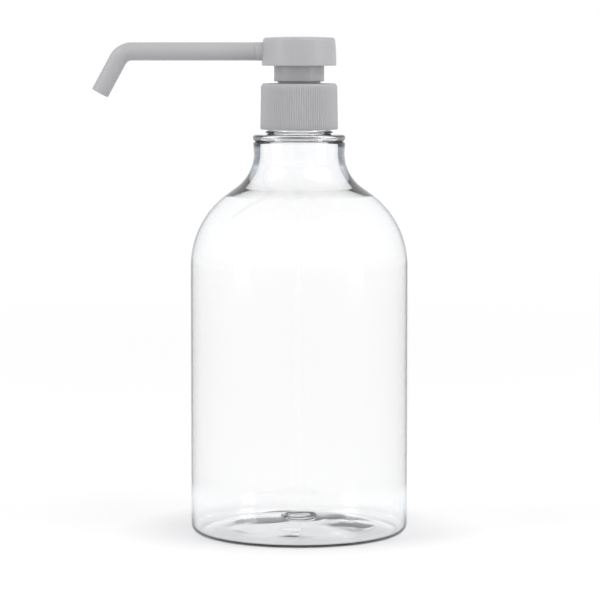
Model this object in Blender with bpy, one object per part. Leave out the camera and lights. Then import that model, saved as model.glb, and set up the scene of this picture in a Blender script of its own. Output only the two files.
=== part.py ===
"""A clear blown plastic bottle with a screw-on dispensing pump, shown locked down.

Metres, +Z up. The bottle stands on z = 0 and the spout points along -X. The origin
lies under the middle of the whole outline, so the pump's axis stands at AXIS_X.
Heights are worked out from the floor upwards: bottle, seal, closure, collar, head,
and from the collar down into the pump barrel.
"""
import math

import bmesh
import bpy
from mathutils import Matrix, Vector

# Clearances between pieces
SEAT_GAP = 0.0003
RUN_GAP = 0.0003

# Bottle body: straight round wall, heavier heel, pushed-up base with a gate recess
BODY_RADIUS = 0.0385
BODY_WALL = 0.00045
BODY_TOP = 0.0952
HEEL_RADIUS = 0.0032
HEEL_WALL = 0.0009
HEEL_TAPER_TOP = 0.0155
STANDING_LAND = 0.0008
PUSH_UP_HEIGHT = 0.0045
BASE_THICKNESS = 0.0016
GATE_RADIUS = 0.0062
GATE_DEPTH = 0.0004

# Bottle shoulder: dome, short cone, flare into the neck
DOME_RADIUS = 0.0312
FLARE_RADIUS = 0.0149
CONE_LENGTH = 0.0044
THINNING_DROP = 0.0145
THINNING_LENGTH = 0.0104

# Bottle neck, support ring and finish
NECK_RADIUS = 0.01605
NECK_DRAFT = 0.00025
NECK_LENGTH = 0.0038
NECK_WALL = 0.00225
GROOVE_WIDTH = 0.0004
SUPPORT_RING_PROUD = 0.00035
SUPPORT_RING_THICKNESS = 0.0023
FINISH_RADIUS = 0.01115
FINISH_WALL = 0.00185
FINISH_HEIGHT = 0.0136
BEAD_PROUD = 0.0009
BEAD_LIFT = 0.0006
BEAD_THICKNESS = 0.0005

# Seal between the bottle's lip and the pump
GASKET_THICKNESS = 0.001
GASKET_PROUD = 0.00025
GASKET_OVERHANG = 0.0007

# Pump barrel, its flange and its inlet
BARREL_BORE_RADIUS = 0.0056
BARREL_WALL = 0.001
FLANGE_THICKNESS = 0.0012
FLANGE_INSET = 0.0004
INLET_THROAT_RADIUS = 0.0008
THROAT_LENGTH = 0.0006
INLET_SEAT_DEPTH = 0.0009
SOCKET_DEPTH = 0.0033
SOCKET_WALL = 0.001
VENT_RADIUS = 0.0005
CAGE_WALL = 0.0008
CAGE_HOOK = 0.0006
CAGE_SLOT_WIDTH = 0.0015

# Valve balls
SUCTION_BALL_RADIUS = 0.0014
SUCTION_BALL_LIFT = 0.0007
OUTLET_BALL_RADIUS = 0.0013
OUTLET_BALL_LIFT = 0.0008

# Dip tube
TUBE_RADIUS = 0.002
TUBE_WALL = 0.0005
TUBE_END_CLEARANCE = 0.0018
TUBE_END_ANGLE = math.radians(30)

# Plunger: foot, piston, stem and spring
STROKE = 0.0065
STROKE_MARGIN = 0.0009
PISTON_HEIGHT = 0.0028
PISTON_LIP = 0.0006
FOOT_THICKNESS = 0.0009
ROD_RADIUS = 0.0019
ROD_BORE_RADIUS = 0.0009
ROD_ENGAGEMENT = 0.0028
STEM_RADIUS = 0.0033
STEM_BORE_RADIUS = 0.002
STEM_ENGAGEMENT = 0.0026
SPRING_WIRE_RADIUS = 0.00035
SPRING_SIDE_GAP = 0.0007

# Screw closure: drafted skirt with fine ribs
THREAD_GAP = 0.00035
CLOSURE_WALL = 0.00088
CLOSURE_DRAFT = 0.00026
CLOSURE_PANEL = 0.00133
CLOSURE_SKIRT_GAP = 0.00185
CLOSURE_TOP_FILLET = 0.0007
CLOSURE_MOUTH_FILLET = 0.0003
RIB_COUNT = 104
RIB_HEIGHT = 0.0002
RIB_FLANK = 0.00014

# Collar that locks the head down
COLLAR_SKIRT = 0.00065
COLLAR_STEP = 0.0013
COLLAR_RISE = 0.00074
COLLAR_HEIGHT = 0.00553
COLLAR_OVERLAP = 0.0012
COLLAR_EDGE = 0.0003
WEB_DROP = 0.0023
WEB_THICKNESS = 0.0012

# Pump head
HEAD_RADIUS = 0.01315
HEAD_TAPER = 0.00053
HEAD_SIDE_BOW = 0.00013
HEAD_HEIGHT = 0.00985
HEAD_CROWN = 0.00031
HEAD_EDGE_FILLET = 0.0011
HEAD_WALL = 0.0013
HEAD_TOP_WALL = 0.0015
HUB_WALL = 0.0018
HUB_GAP = 0.0004
HEAD_RIB_COUNT = 6
HEAD_RIB_THICKNESS = 0.0009
BALL_STOP_RADIUS = 0.0007

# Spout
SPOUT_RADIUS = 0.0032
SPOUT_BORE_RADIUS = 0.00175
SPOUT_RISE = 0.00497
SPOUT_STRAIGHT_END = 0.05896
SPOUT_BEND_RADIUS = 0.00568
SPOUT_BEND_ANGLE = math.radians(61.5)
SPOUT_TIP_LENGTH = 0.0133
SPOUT_TIP_EDGE = 0.0003
SPIGOT_WALL = 0.0008
SPIGOT_LENGTH = 0.009
BOSS_WALL = 0.0005
BOSS_REACH = 0.0154

# Facets round each kind of turned piece, and along a fillet
BODY_SEGMENTS = 40
CAP_SEGMENTS = 32
CORE_SEGMENTS = 20
FILLET_STEPS = 2
MERGE_DISTANCE = 0.000001


# Radii that follow from the sizes above
neck_top_radius = NECK_RADIUS + NECK_DRAFT
neck_inner_radius = NECK_RADIUS - NECK_WALL
support_ring_radius = NECK_RADIUS + SUPPORT_RING_PROUD
finish_bore_radius = FINISH_RADIUS - FINISH_WALL
bead_radius = FINISH_RADIUS + BEAD_PROUD
gasket_radius = FINISH_RADIUS + GASKET_PROUD
gasket_inner_radius = finish_bore_radius - GASKET_OVERHANG
barrel_radius = BARREL_BORE_RADIUS + BARREL_WALL
flange_radius = gasket_radius - FLANGE_INSET
socket_bore_radius = TUBE_RADIUS + SEAT_GAP
socket_radius = socket_bore_radius + SOCKET_WALL
cage_inner_radius = SUCTION_BALL_RADIUS + RUN_GAP
cage_radius = cage_inner_radius + CAGE_WALL
cage_hook_radius = cage_inner_radius - CAGE_WALL
piston_radius = BARREL_BORE_RADIUS - RUN_GAP
piston_bore_radius = ROD_RADIUS + SEAT_GAP
spring_radius = BARREL_BORE_RADIUS - SPRING_SIDE_GAP - SPRING_WIRE_RADIUS
foot_radius = spring_radius + SPRING_WIRE_RADIUS
closure_inner_radius = bead_radius + THREAD_GAP
closure_top_radius = closure_inner_radius + CLOSURE_WALL
closure_mouth_radius = closure_top_radius + CLOSURE_DRAFT
collar_bore_radius = barrel_radius + SEAT_GAP
collar_skirt_radius = collar_bore_radius + COLLAR_SKIRT
closure_hole_radius = collar_skirt_radius + RUN_GAP
collar_radius = collar_skirt_radius + COLLAR_STEP
stem_hole_radius = STEM_RADIUS + RUN_GAP
hub_socket_radius = STEM_RADIUS + SEAT_GAP
hub_radius = hub_socket_radius + HUB_WALL
collar_recess_radius = hub_radius + RUN_GAP
head_top_radius = HEAD_RADIUS - HEAD_TAPER
head_cavity_radius = HEAD_RADIUS - HEAD_WALL
spigot_radius = SPOUT_BORE_RADIUS + SPIGOT_WALL
boss_bore_radius = spigot_radius + SEAT_GAP
boss_radius = boss_bore_radius + BOSS_WALL


def shoulder_angle():
    """Slope of the cone that leaves the dome and meets the flare without a kink."""
    arcs = DOME_RADIUS + FLARE_RADIUS
    lean = math.atan2(CONE_LENGTH, arcs)
    inset = arcs - (BODY_RADIUS - NECK_RADIUS)
    return math.acos(inset / math.hypot(arcs, CONE_LENGTH)) - lean


def shoulder_rise():
    """Height of dome, cone and flare together."""
    angle = shoulder_angle()
    return (DOME_RADIUS + FLARE_RADIUS) * math.sin(angle) + CONE_LENGTH * math.cos(angle)


def seated_height(throat_radius, throat_height, ball_radius):
    """Centre height of a ball on a 45 degree seat that opens upwards from its throat."""
    return throat_height - throat_radius + math.sqrt(2) * (ball_radius + SEAT_GAP)


# Heights, from the floor up to the top of the head
shoulder_top = BODY_TOP + shoulder_rise()
thin_below = shoulder_top - THINNING_DROP
neck_top = shoulder_top + NECK_LENGTH
support_ring_low = neck_top + GROOVE_WIDTH
support_ring_top = support_ring_low + SUPPORT_RING_THICKNESS
lip_height = support_ring_top + FINISH_HEIGHT
gasket_low = lip_height + SEAT_GAP
gasket_top = gasket_low + GASKET_THICKNESS
flange_low = gasket_top + SEAT_GAP
flange_top = flange_low + FLANGE_THICKNESS
closure_panel_low = flange_top + SEAT_GAP
closure_top = closure_panel_low + CLOSURE_PANEL
closure_mouth = support_ring_top + CLOSURE_SKIRT_GAP
collar_low = flange_top + SEAT_GAP
collar_shoulder = closure_top + COLLAR_RISE
head_low = collar_shoulder + COLLAR_HEIGHT
collar_top = head_low + COLLAR_OVERLAP
web_low = head_low - WEB_DROP
web_top = web_low + WEB_THICKNESS
hub_low = web_top + HUB_GAP
stem_top = head_low + STEM_ENGAGEMENT
hub_socket_top = stem_top + SEAT_GAP
spout_height = head_low + SPOUT_RISE
head_edge = head_low + HEAD_HEIGHT
head_top = head_edge + HEAD_CROWN
head_ceiling = head_edge - HEAD_TOP_WALL

# Heights, from the collar down into the barrel with the head locked down
barrel_top = web_low - SEAT_GAP
piston_top = web_low - STROKE - STROKE_MARGIN
piston_low = piston_top - PISTON_HEIGHT
stem_low = piston_top + SEAT_GAP
rod_top = stem_low + ROD_ENGAGEMENT
foot_top = piston_low - SEAT_GAP
foot_low = foot_top - FOOT_THICKNESS
cage_top = foot_low - RUN_GAP
hook_contact = math.sqrt(SUCTION_BALL_RADIUS ** 2 - cage_hook_radius ** 2)
hook_low = cage_top - CAGE_HOOK
suction_ball_height = hook_low - RUN_GAP - hook_contact - SUCTION_BALL_LIFT
inlet_throat_top = suction_ball_height - seated_height(INLET_THROAT_RADIUS, 0.0, SUCTION_BALL_RADIUS)
barrel_floor = inlet_throat_top + INLET_SEAT_DEPTH
socket_top = inlet_throat_top - THROAT_LENGTH
socket_low = socket_top - SOCKET_DEPTH
spring_low = barrel_floor + SEAT_GAP
spring_top = foot_low - SEAT_GAP
tube_top = socket_top - SEAT_GAP
tube_low = PUSH_UP_HEIGHT + BASE_THICKNESS + TUBE_END_CLEARANCE
outlet_stop = hub_socket_top - 2 * SEAT_GAP
outlet_ball_height = outlet_stop - RUN_GAP - OUTLET_BALL_RADIUS - OUTLET_BALL_LIFT
outlet_throat_top = outlet_ball_height - seated_height(ROD_BORE_RADIUS, 0.0, OUTLET_BALL_RADIUS)
outlet_seat_top = outlet_throat_top + STEM_BORE_RADIUS - ROD_BORE_RADIUS

# The pump's axis, placed so that the whole outline is centred on the origin
bend_turn = Vector((-math.cos(SPOUT_BEND_ANGLE), 0.0, -math.sin(SPOUT_BEND_ANGLE)))
tip_start = Vector((
    -SPOUT_STRAIGHT_END - SPOUT_BEND_RADIUS * math.sin(SPOUT_BEND_ANGLE),
    0.0,
    spout_height - SPOUT_BEND_RADIUS * (1.0 - math.cos(SPOUT_BEND_ANGLE)),
))
tip_end = tip_start + bend_turn * SPOUT_TIP_LENGTH
spout_reach = -tip_end.x + (SPOUT_RADIUS - SPOUT_TIP_EDGE) * math.sin(SPOUT_BEND_ANGLE)
AXIS_X = (spout_reach - BODY_RADIUS) / 2


def start_empty():
    """Clears the file and returns the empty on the pump's axis that carries every piece."""
    for thing in list(bpy.data.objects):
        bpy.data.objects.remove(thing, do_unlink=True)
    axis = bpy.data.objects.new("pump_axis", None)
    axis.location = (AXIS_X, 0.0, 0.0)
    bpy.context.collection.objects.link(axis)
    return axis


def plastic(name, colour, roughness, alpha=1.0, metallic=0.0):
    """One Principled material in the piece's own colour."""
    material = bpy.data.materials.new(name)
    material.use_nodes = True
    shader = material.node_tree.nodes["Principled BSDF"]
    shader.inputs["Base Color"].default_value = (*colour, 1.0)
    shader.inputs["Roughness"].default_value = roughness
    shader.inputs["Metallic"].default_value = metallic
    shader.inputs["Alpha"].default_value = alpha
    material.diffuse_color = (*colour, alpha)
    return material


def clear_plastic(name):
    return plastic(name, (0.93, 0.94, 0.97), 0.05, alpha=0.25)


def grey_plastic(name):
    return plastic(name, (0.43, 0.43, 0.45), 0.4)


def natural_plastic(name):
    return plastic(name, (0.82, 0.83, 0.82), 0.45)


def steel(name):
    return plastic(name, (0.62, 0.62, 0.64), 0.2, metallic=1.0)


def piece(name, shape, material=None):
    """Turns a bmesh into a named object on the pump's axis; a tool has no material."""
    bmesh.ops.recalc_face_normals(shape, faces=shape.faces)
    mesh = bpy.data.meshes.new(name)
    shape.to_mesh(mesh)
    shape.free()
    mesh.shade_smooth()
    mesh.set_sharp_from_angle(angle=math.radians(35))
    thing = bpy.data.objects.new(name, mesh)
    bpy.context.collection.objects.link(thing)
    thing.parent = pump_axis
    if material:
        mesh.materials.append(material)
    else:
        thing.hide_render = True
        thing.display_type = 'WIRE'
    return thing


def combine(target, tool, operation):
    """Unites the tool with the target or cuts it out, as a live Boolean."""
    step = target.modifiers.new(tool.name, 'BOOLEAN')
    step.operation = operation
    step.solver = 'EXACT'
    step.object = tool


def arc(centre, radius, start, end, steps):
    """Points along an arc in the (radius, height) plane, both ends included."""
    points = []
    for step in range(steps + 1):
        angle = start + (end - start) * step / steps
        points.append((centre[0] + radius * math.cos(angle), centre[1] + radius * math.sin(angle)))
    return points


def bowed(start, end, bow, steps):
    """Points on the arc from start to end that stands out by bow at its middle."""
    start, end = Vector(start), Vector(end)
    chord = end - start
    side = Vector((chord.y, -chord.x)).normalized()
    points = []
    for step in range(steps + 1):
        share = step / steps
        points.append(tuple(start + chord * share + side * bow * 4 * share * (1 - share)))
    return points


def rounded(corners):
    """An outline in which each corner given as (radius, height, fillet) is rounded off."""
    points = []
    count = len(corners)
    for index, corner in enumerate(corners):
        here = Vector(corner[:2])
        if len(corner) == 2:
            points.append(tuple(here))
            continue
        before = Vector(corners[index - 1][:2]) - here
        after = Vector(corners[(index + 1) % count][:2]) - here
        half = before.angle(after) / 2
        reach = min(corner[2] / math.tan(half), 0.45 * before.length, 0.45 * after.length)
        fillet = reach * math.tan(half)
        centre = here + (before.normalized() + after.normalized()).normalized() * fillet / math.sin(half)
        first = here + before.normalized() * reach - centre
        sweep = first.angle_signed(here + after.normalized() * reach - centre)
        for step in range(FILLET_STEPS + 1):
            turned_by = Matrix.Rotation(-sweep * step / FILLET_STEPS, 2)
            points.append(tuple(centre + turned_by @ first))
    return points


def spun(outline, segments):
    """Spins a chain of (radius, height) points about the axis.

    The chain starts and ends on the axis, or else it is closed on itself.
    """
    shape = bmesh.new()
    points = [shape.verts.new((radius, 0.0, height)) for radius, height in outline]
    pairs = list(zip(points, points[1:]))
    if outline[0][0] > 0.0:
        pairs.append((points[-1], points[0]))
    edges = [shape.edges.new(pair) for pair in pairs]
    bmesh.ops.spin(shape, geom=points + edges, cent=(0, 0, 0), axis=(0, 0, 1),
                   angle=math.tau, steps=segments, use_merge=True)
    bmesh.ops.remove_doubles(shape, verts=shape.verts, dist=MERGE_DISTANCE)
    bmesh.ops.recalc_face_normals(shape, faces=shape.faces)
    return shape


def rod_along(start, end, radius, segments):
    """A plain cylinder between two points."""
    start, end = Vector(start), Vector(end)
    shape = bmesh.new()
    turn = (end - start).to_track_quat('Z', 'Y').to_matrix().to_4x4()
    bmesh.ops.create_cone(shape, cap_ends=True, segments=segments, radius1=radius, radius2=radius,
                          depth=(end - start).length, matrix=Matrix.Translation((start + end) / 2) @ turn)
    return shape


def block(low, high, turn=0.0):
    """A box between two corners, turned about the axis."""
    low, high = Vector(low), Vector(high)
    shape = bmesh.new()
    size = Matrix.Diagonal((*(high - low), 1.0))
    place = Matrix.Rotation(turn, 4, 'Z') @ Matrix.Translation((low + high) / 2)
    bmesh.ops.create_cube(shape, size=1.0, matrix=place @ size)
    return shape


def shoulder(steps):
    """Outer (radius, height, lean) of dome, cone and flare, from the straight side up."""
    points = []
    angle = shoulder_angle()
    for step in range(steps + 1):
        lean = angle * step / steps
        points.append((BODY_RADIUS - DOME_RADIUS * (1.0 - math.cos(lean)),
                       BODY_TOP + DOME_RADIUS * math.sin(lean), lean))
    for step in range(steps + 1):
        lean = angle * (1.0 - step / steps)
        points.append((NECK_RADIUS + FLARE_RADIUS * (1.0 - math.cos(lean)),
                       shoulder_top - FLARE_RADIUS * math.sin(lean), lean))
    return points


def wall_at(height):
    """Thickness of the shoulder's wall, which is drawn out thin below the flare."""
    share = max(0.0, min(1.0, (height - thin_below) / THINNING_LENGTH))
    return BODY_WALL + (NECK_WALL - BODY_WALL) * share ** 0.7


def push_up(start, land_inner, rise, steps):
    """The base's arched surface, from a radius out to the standing land."""
    points = []
    for step in range(steps + 1):
        radius = start + (land_inner - start) * step / steps
        points.append((radius, rise * (1.0 - (radius / land_inner) ** 2)))
    return points


def make_bottle():
    """One blown wall: thin in the body, thick round heel, neck and finish."""
    heel_centre = (BODY_RADIUS - HEEL_RADIUS, HEEL_RADIUS)
    land_inner = BODY_RADIUS - HEEL_RADIUS - STANDING_LAND
    finish_foot = support_ring_top + BEAD_LIFT
    outline = [(0.0, PUSH_UP_HEIGHT + GATE_DEPTH), (GATE_RADIUS - GATE_DEPTH, PUSH_UP_HEIGHT + GATE_DEPTH)]
    outline += push_up(GATE_RADIUS, land_inner, PUSH_UP_HEIGHT, 5)
    outline += arc(heel_centre, HEEL_RADIUS, -math.pi / 2, 0.0, 4)
    outline += [(radius, height) for radius, height, lean in shoulder(6)]
    outline += rounded([
        (neck_top_radius, neck_top),
        (neck_top_radius - GROOVE_WIDTH / 2, neck_top + GROOVE_WIDTH / 2),
        (neck_top_radius - GROOVE_WIDTH / 2, support_ring_low),
        (support_ring_radius, support_ring_low, SUPPORT_RING_THICKNESS / 4),
        (support_ring_radius, support_ring_top, SUPPORT_RING_THICKNESS / 3),
        (FINISH_RADIUS, support_ring_top),
        (FINISH_RADIUS, finish_foot),
        (bead_radius, finish_foot),
        (bead_radius, finish_foot + BEAD_THICKNESS),
        (FINISH_RADIUS, finish_foot + 2 * BEAD_THICKNESS),
        (FINISH_RADIUS, lip_height, FINISH_WALL / 6),
        (finish_bore_radius, lip_height, FINISH_WALL / 6),
        (finish_bore_radius, finish_foot),
        (neck_inner_radius, support_ring_low + SUPPORT_RING_THICKNESS / 2, NECK_WALL / 2),
        (neck_inner_radius, neck_top - GROOVE_WIDTH),
    ])
    for radius, height, lean in reversed(shoulder(6)):
        wall = wall_at(height)
        outline.append((radius - wall * math.cos(lean), height - wall * math.sin(lean)))
    outline += [(BODY_RADIUS - BODY_WALL, HEEL_TAPER_TOP)]
    outline += arc(heel_centre, HEEL_RADIUS - HEEL_WALL, 0.0, -math.pi / 2, 3)
    floor = push_up(0.0, land_inner, PUSH_UP_HEIGHT + BASE_THICKNESS - HEEL_WALL, 5)
    outline += [(radius, height + HEEL_WALL) for radius, height in reversed(floor)]
    return piece("bottle", spun(outline, BODY_SEGMENTS), clear_plastic("clear_bottle_plastic"))


def make_gasket():
    outline = [
        (gasket_inner_radius, gasket_low),
        (gasket_radius, gasket_low),
        (gasket_radius, gasket_top),
        (gasket_inner_radius, gasket_top),
    ]
    return piece("gasket", spun(outline, CAP_SEGMENTS), plastic("white_foam", (0.85, 0.85, 0.84), 0.8))


def make_closure():
    """Drafted skirt whose outer facets are each raised into one rib."""
    skirt_low = closure_mouth + CLOSURE_MOUTH_FILLET
    skirt_top = closure_top - CLOSURE_TOP_FILLET
    outline = [
        (closure_inner_radius + CLOSURE_MOUTH_FILLET, closure_mouth),
        (closure_mouth_radius - CLOSURE_MOUTH_FILLET / 2, closure_mouth),
        (closure_mouth_radius, skirt_low),
    ]
    outline += arc((closure_top_radius - CLOSURE_TOP_FILLET, skirt_top), CLOSURE_TOP_FILLET,
                   0.0, math.pi / 2, 3)
    outline += [
        (closure_hole_radius, closure_top),
        (closure_hole_radius, closure_panel_low),
        (closure_inner_radius, closure_panel_low),
        (closure_inner_radius, closure_mouth + CLOSURE_MOUTH_FILLET),
    ]
    shape = spun(outline, RIB_COUNT)
    middle = (skirt_low + skirt_top) / 2
    facets = [face for face in shape.faces
              if face.normal.xy.dot(face.calc_center_median().xy) > 0
              and abs(face.calc_center_median().z - middle) < CLOSURE_TOP_FILLET]
    bmesh.ops.inset_individual(shape, faces=facets, thickness=RIB_FLANK, depth=RIB_HEIGHT,
                               use_even_offset=True)
    return piece("closure", shape, grey_plastic("grey_closure_plastic"))


def make_housing():
    """Pump barrel with the closure's flange, the inlet seat and the dip tube's socket."""
    outline = [
        (socket_bore_radius, socket_low),
        (socket_radius, socket_low),
        (socket_radius, socket_top),
        (barrel_radius - BARREL_WALL, barrel_floor - BARREL_WALL),
        (barrel_radius, barrel_floor),
        (barrel_radius, flange_low),
        (flange_radius, flange_low),
        (flange_radius, flange_top),
        (barrel_radius, flange_top),
        (barrel_radius, barrel_top),
        (BARREL_BORE_RADIUS, barrel_top),
        (BARREL_BORE_RADIUS, barrel_floor),
        (cage_radius, barrel_floor),
        (cage_radius, cage_top),
        (cage_hook_radius, cage_top),
        (cage_hook_radius, hook_low),
        (cage_inner_radius, hook_low),
        (cage_inner_radius, barrel_floor),
        (INLET_THROAT_RADIUS + INLET_SEAT_DEPTH - SEAT_GAP / 2, barrel_floor),
        (INLET_THROAT_RADIUS, inlet_throat_top),
        (INLET_THROAT_RADIUS, socket_top),
        (socket_bore_radius, socket_top),
    ]
    housing = piece("housing", spun(outline, CORE_SEGMENTS), natural_plastic("natural_housing_plastic"))
    reach = cage_radius + RUN_GAP
    slot = CAGE_SLOT_WIDTH / 2
    floor = barrel_floor + SEAT_GAP
    crossing = piece("cage_slots", block((-reach, -slot, floor), (reach, slot, foot_low)))
    across = piece("cage_slots_across", block((-slot, -reach, floor), (slot, reach, foot_low)))
    vent_height = flange_low - 2 * VENT_RADIUS
    vent = piece("vent_hole", rod_along((BARREL_BORE_RADIUS - BARREL_WALL, 0.0, vent_height),
                                        (barrel_radius + BARREL_WALL, 0.0, vent_height), VENT_RADIUS, 8))
    combine(housing, crossing, 'DIFFERENCE')
    combine(housing, across, 'DIFFERENCE')
    combine(housing, vent, 'DIFFERENCE')
    return housing


def make_ball(name, radius, height):
    shape = bmesh.new()
    bmesh.ops.create_uvsphere(shape, u_segments=16, v_segments=10, radius=radius)
    ball = piece(name, shape, steel(name + "_steel"))
    ball.location = (0.0, 0.0, height)
    return ball


def make_dip_tube():
    """Extruded tube, cut at a slant so that the base can't close it."""
    outline = [
        (TUBE_RADIUS - TUBE_WALL, tube_low),
        (TUBE_RADIUS, tube_low),
        (TUBE_RADIUS, tube_top),
        (TUBE_RADIUS - TUBE_WALL, tube_top),
    ]
    shape = spun(outline, 16)
    for point in shape.verts:
        if point.co.z < (tube_low + tube_top) / 2:
            point.co.z += (point.co.x + TUBE_RADIUS) * math.tan(TUBE_END_ANGLE)
    return piece("dip_tube", shape, clear_plastic("clear_tube_plastic"))


def make_collar():
    """Ring snapped on the barrel's top: it traps the closure and takes the head's hub."""
    outline = rounded([
        (collar_bore_radius, collar_low),
        (collar_skirt_radius, collar_low),
        (collar_skirt_radius, collar_shoulder),
        (collar_radius, collar_shoulder, COLLAR_EDGE),
        (collar_radius, collar_top, COLLAR_EDGE),
        (collar_recess_radius, collar_top),
        (collar_recess_radius, web_top),
        (stem_hole_radius, web_top),
        (stem_hole_radius, web_low),
        (collar_bore_radius, web_low),
    ])
    return piece("collar", spun(outline, CAP_SEGMENTS), grey_plastic("grey_collar_plastic"))


def make_spring():
    """Round wire wound between the barrel's floor and the plunger's foot, fully packed."""
    wire = 2 * SPRING_WIRE_RADIUS
    packed = spring_top - spring_low - wire
    turns = max(1, int(packed / (wire * 1.1)))
    steps = 18 * turns
    curve = bpy.data.curves.new("spring", 'CURVE')
    curve.dimensions = '3D'
    curve.bevel_depth = SPRING_WIRE_RADIUS
    curve.bevel_resolution = 2
    curve.use_fill_caps = True
    path = curve.splines.new('POLY')
    path.points.add(steps)
    for step, point in enumerate(path.points):
        angle = math.tau * turns * step / steps
        height = spring_low + SPRING_WIRE_RADIUS + packed * step / steps
        point.co = (spring_radius * math.cos(angle), spring_radius * math.sin(angle), height, 1.0)
    spring = bpy.data.objects.new("spring", curve)
    bpy.context.collection.objects.link(spring)
    spring.parent = pump_axis
    curve.materials.append(steel("spring_steel"))
    return spring


def make_piston_rod():
    """Hollow rod with a foot that carries the piston and presses on the spring."""
    guide_radius = (cage_radius + spring_radius - SPRING_WIRE_RADIUS) / 2
    guide_wall = SPRING_WIRE_RADIUS
    outline = [
        (ROD_BORE_RADIUS, foot_low),
        (guide_radius - guide_wall, foot_low),
        (guide_radius - guide_wall, foot_low - guide_wall * 2),
        (guide_radius + guide_wall, foot_low - guide_wall * 2),
        (guide_radius + guide_wall, foot_low),
        (foot_radius, foot_low),
        (foot_radius, (foot_low + foot_top) / 2),
        (piston_bore_radius + PISTON_LIP * 2, foot_top),
        (ROD_RADIUS, foot_top),
        (ROD_RADIUS, rod_top),
        (ROD_BORE_RADIUS, rod_top),
    ]
    return piece("piston_rod", spun(outline, CORE_SEGMENTS), natural_plastic("natural_rod_plastic"))


def make_piston():
    """Soft sleeve with a wiping lip at each end of its outer wall."""
    middle = (piston_low + piston_top) / 2
    sleeve_radius = piston_bore_radius + PISTON_LIP
    groove_radius = piston_radius - PISTON_LIP * 1.5
    waist_radius = piston_radius - PISTON_LIP / 2
    web = PISTON_LIP / 2
    outline = [
        (piston_bore_radius, piston_low),
        (sleeve_radius, piston_low),
        (sleeve_radius, middle - web),
        (groove_radius - PISTON_LIP / 2, middle - web),
        (groove_radius + PISTON_LIP / 2, piston_low),
        (piston_radius, piston_low),
        (waist_radius, middle),
        (piston_radius, piston_top),
        (groove_radius + PISTON_LIP / 2, piston_top),
        (groove_radius - PISTON_LIP / 2, middle + web),
        (sleeve_radius, middle + web),
        (sleeve_radius, piston_top),
        (piston_bore_radius, piston_top),
    ]
    return piece("piston", spun(outline, CORE_SEGMENTS), plastic("soft_piston_plastic", (0.9, 0.9, 0.88), 0.5))


def make_stem():
    """Tube between piston and head, with the outlet valve's seat near its top."""
    outline = [
        (ROD_RADIUS + SEAT_GAP, stem_low),
        (STEM_RADIUS, stem_low),
        (STEM_RADIUS, stem_top),
        (STEM_BORE_RADIUS, stem_top),
        (STEM_BORE_RADIUS, outlet_seat_top),
        (ROD_BORE_RADIUS, outlet_throat_top),
        (ROD_BORE_RADIUS, rod_top + SEAT_GAP),
        (ROD_RADIUS + SEAT_GAP, rod_top + SEAT_GAP),
    ]
    return piece("stem", spun(outline, CORE_SEGMENTS), natural_plastic("natural_stem_plastic"))


def make_head():
    """Hollow button: bowed side, low crown, hub on the stem, boss for the spout, ribs inside."""
    channel_top = spout_height + SPOUT_BORE_RADIUS
    side = bowed((HEAD_RADIUS, head_low), (head_top_radius, head_edge), HEAD_SIDE_BOW, 3)
    crown = bowed((head_top_radius, head_edge), (0.0, head_top), HEAD_CROWN / 4, 4)
    outline = [
        (0.0, outlet_stop),
        (BALL_STOP_RADIUS, outlet_stop),
        (BALL_STOP_RADIUS, channel_top),
        (SPOUT_BORE_RADIUS, channel_top),
        (SPOUT_BORE_RADIUS, hub_socket_top),
        (hub_socket_radius, hub_socket_top),
        (hub_socket_radius, hub_low),
        (hub_radius, hub_low),
        (hub_radius, head_ceiling),
        (head_cavity_radius - HEAD_TAPER, head_ceiling, HEAD_EDGE_FILLET / 2),
        (head_cavity_radius, head_low),
    ]
    outline += side[:-1] + [(*side[-1], HEAD_EDGE_FILLET)] + crown[1:]
    shape = spun(rounded(outline), BODY_SEGMENTS)
    head = piece("head", shape, grey_plastic("grey_head_plastic"))
    boss = piece("spout_boss", rod_along((-hub_socket_radius, 0.0, spout_height),
                                         (-BOSS_REACH, 0.0, spout_height), boss_radius, CORE_SEGMENTS))
    combine(head, boss, 'UNION')
    for number in range(HEAD_RIB_COUNT):
        turn = math.tau * number / HEAD_RIB_COUNT
        if math.isclose(turn, math.pi):
            continue
        low = (hub_socket_radius + HUB_WALL / 2, -HEAD_RIB_THICKNESS / 2, spout_height - boss_radius)
        high = (head_cavity_radius + HEAD_WALL / 2 - HEAD_TAPER, HEAD_RIB_THICKNESS / 2,
                head_ceiling + HEAD_TOP_WALL / 2)
        rib = piece(f"head_rib_{number + 1}", block(low, high, turn))
        combine(head, rib, 'UNION')
    channel = piece("spout_channel", rod_along((-BALL_STOP_RADIUS - SEAT_GAP, 0.0, spout_height),
                                               (-BOSS_REACH, 0.0, spout_height), SPOUT_BORE_RADIUS, 16))
    socket = piece("spout_socket", rod_along((-BOSS_REACH + SPIGOT_LENGTH, 0.0, spout_height),
                                             (-BOSS_REACH - BOSS_WALL, 0.0, spout_height),
                                             boss_bore_radius, CORE_SEGMENTS))
    combine(head, channel, 'DIFFERENCE')
    combine(head, socket, 'DIFFERENCE')
    return head


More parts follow.
